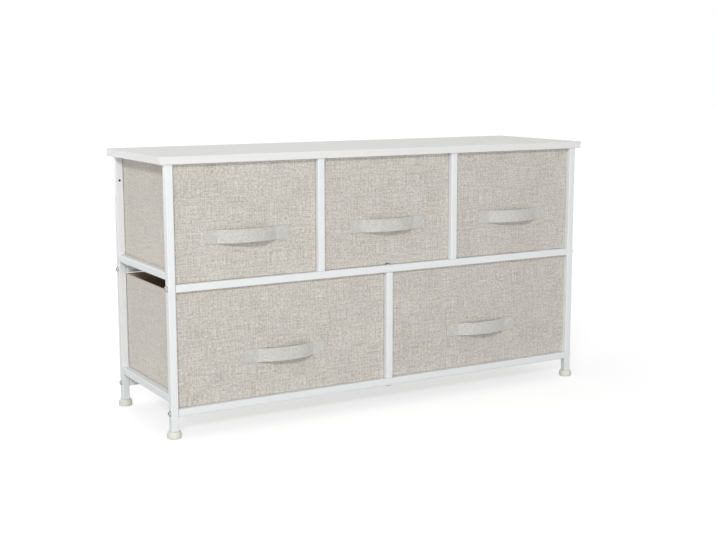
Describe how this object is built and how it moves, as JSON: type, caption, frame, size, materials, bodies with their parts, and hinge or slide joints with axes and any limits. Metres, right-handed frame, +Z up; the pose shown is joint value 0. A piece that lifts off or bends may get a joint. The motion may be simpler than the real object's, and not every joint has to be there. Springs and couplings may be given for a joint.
{
  "type": "fabric drawer dresser",
  "caption": "Low wide dresser with a white steel tube frame, a board top and fabric drawers that slide out by strap handles.",
  "frame": {"origin": "on the floor under the middle of the board", "axes": "+X to the viewer's right along the width, +Y from the front to the back, +Z up; the drawers open towards -Y"},
  "size_m": [1, 0.303, 0.54],
  "materials": {
    "frame_white": "satin white powder coat",
    "board_white": "matt white laminate on fibreboard",
    "runner_white": "satin white powder coat",
    "bolt_steel": "zinc plated",
    "foot_cream": "matt cream plastic",
    "fabric_greige": "heathered linen-look weave",
    "strap_grey": "woven strap, stitched at both ends",
    "base_dark": "hardboard in dark cloth"
  },
  "bodies": {
    "frame": {"top_board": "board_white", "side_frame_left": "frame_white", "side_frame_right": "frame_white", "crossbar_middle_front": "frame_white", "crossbar_middle_rear": "frame_white", "crossbar_bottom_front": "frame_white", "crossbar_bottom_rear": "frame_white", "divider_upper_left_front": "frame_white", "divider_upper_left_rear": "frame_white", "divider_upper_right_front": "frame_white", "divider_upper_right_rear": "frame_white", "divider_lower_front": "frame_white", "divider_lower_rear": "frame_white", "runner_upper_left_inner": "runner_white", "runner_upper_left_outer": "runner_white", "runner_upper_right_inner": "runner_white", "runner_upper_right_outer": "runner_white", "runner_lower_left_outer": "runner_white", "runner_lower_right_outer": "runner_white", "runner_lower_middle": "runner_white", "bolt_middle_left_front": "bolt_steel", "bolt_middle_left_rear": "bolt_steel", "bolt_middle_right_front": "bolt_steel", "bolt_middle_right_rear": "bolt_steel", "bolt_bottom_left_front": "bolt_steel", "bolt_bottom_left_rear": "bolt_steel", "bolt_bottom_right_front": "bolt_steel", "bolt_bottom_right_rear": "bolt_steel", "bolt_divider_top_front": "bolt_steel", "bolt_divider_top_rear": "bolt_steel", "bolt_divider_bottom_front": "bolt_steel", "bolt_divider_bottom_rear": "bolt_steel", "board_screw_leg_left_front": "bolt_steel", "board_screw_leg_left_rear": "bolt_steel", "board_screw_leg_right_front": "bolt_steel", "board_screw_leg_right_rear": "bolt_steel", "board_screw_divider_left_front": "bolt_steel", "board_screw_divider_left_rear": "bolt_steel", "board_screw_divider_right_front": "bolt_steel", "board_screw_divider_right_rear": "bolt_steel"},
    "drawer_upper_left": {"drawer_upper_left_bin": "fabric_greige", "drawer_upper_left_base_board": "base_dark", "drawer_upper_left_handle_strap": "strap_grey"},
    "drawer_upper_middle": {"drawer_upper_middle_bin": "fabric_greige", "drawer_upper_middle_base_board": "base_dark", "drawer_upper_middle_handle_strap": "strap_grey"},
    "drawer_upper_right": {"drawer_upper_right_bin": "fabric_greige", "drawer_upper_right_base_board": "base_dark", "drawer_upper_right_handle_strap": "strap_grey"},
    "drawer_lower_left": {"drawer_lower_left_bin": "fabric_greige", "drawer_lower_left_base_board": "base_dark", "drawer_lower_left_handle_strap": "strap_grey"},
    "drawer_lower_right": {"drawer_lower_right_bin": "fabric_greige", "drawer_lower_right_base_board": "base_dark", "drawer_lower_right_handle_strap": "strap_grey"},
    "foot_left_front": {"foot_left_front": "foot_cream"},
    "foot_left_rear": {"foot_left_rear": "foot_cream"},
    "foot_right_front": {"foot_right_front": "foot_cream"},
    "foot_right_rear": {"foot_right_rear": "foot_cream"}
  },
  "joints": [
    {"name": "drawer_upper_left_slide", "type": "slide", "parent": "frame", "child": "drawer_upper_left", "axis": [0, -1, 0], "range_m": [0, 0.2]},
    {"name": "drawer_upper_middle_slide", "type": "slide", "parent": "frame", "child": "drawer_upper_middle", "axis": [0, -1, 0], "range_m": [0, 0.2]},
    {"name": "drawer_upper_right_slide", "type": "slide", "parent": "frame", "child": "drawer_upper_right", "axis": [0, -1, 0], "range_m": [0, 0.2]},
    {"name": "drawer_lower_left_slide", "type": "slide", "parent": "frame", "child": "drawer_lower_left", "axis": [0, -1, 0], "range_m": [0, 0.2]},
    {"name": "drawer_lower_right_slide", "type": "slide", "parent": "frame", "child": "drawer_lower_right", "axis": [0, -1, 0], "range_m": [0, 0.2]},
    {"name": "foot_left_front_thread", "type": "slide", "parent": "frame", "child": "foot_left_front", "axis": [0, 0, -1], "range_m": [0, 0.008]},
    {"name": "foot_left_rear_thread", "type": "slide", "parent": "frame", "child": "foot_left_rear", "axis": [0, 0, -1], "range_m": [0, 0.008]},
    {"name": "foot_right_front_thread", "type": "slide", "parent": "frame", "child": "foot_right_front", "axis": [0, 0, -1], "range_m": [0, 0.008]},
    {"name": "foot_right_rear_thread", "type": "slide", "parent": "frame", "child": "foot_right_rear", "axis": [0, 0, -1], "range_m": [0, 0.008]}
  ]
}
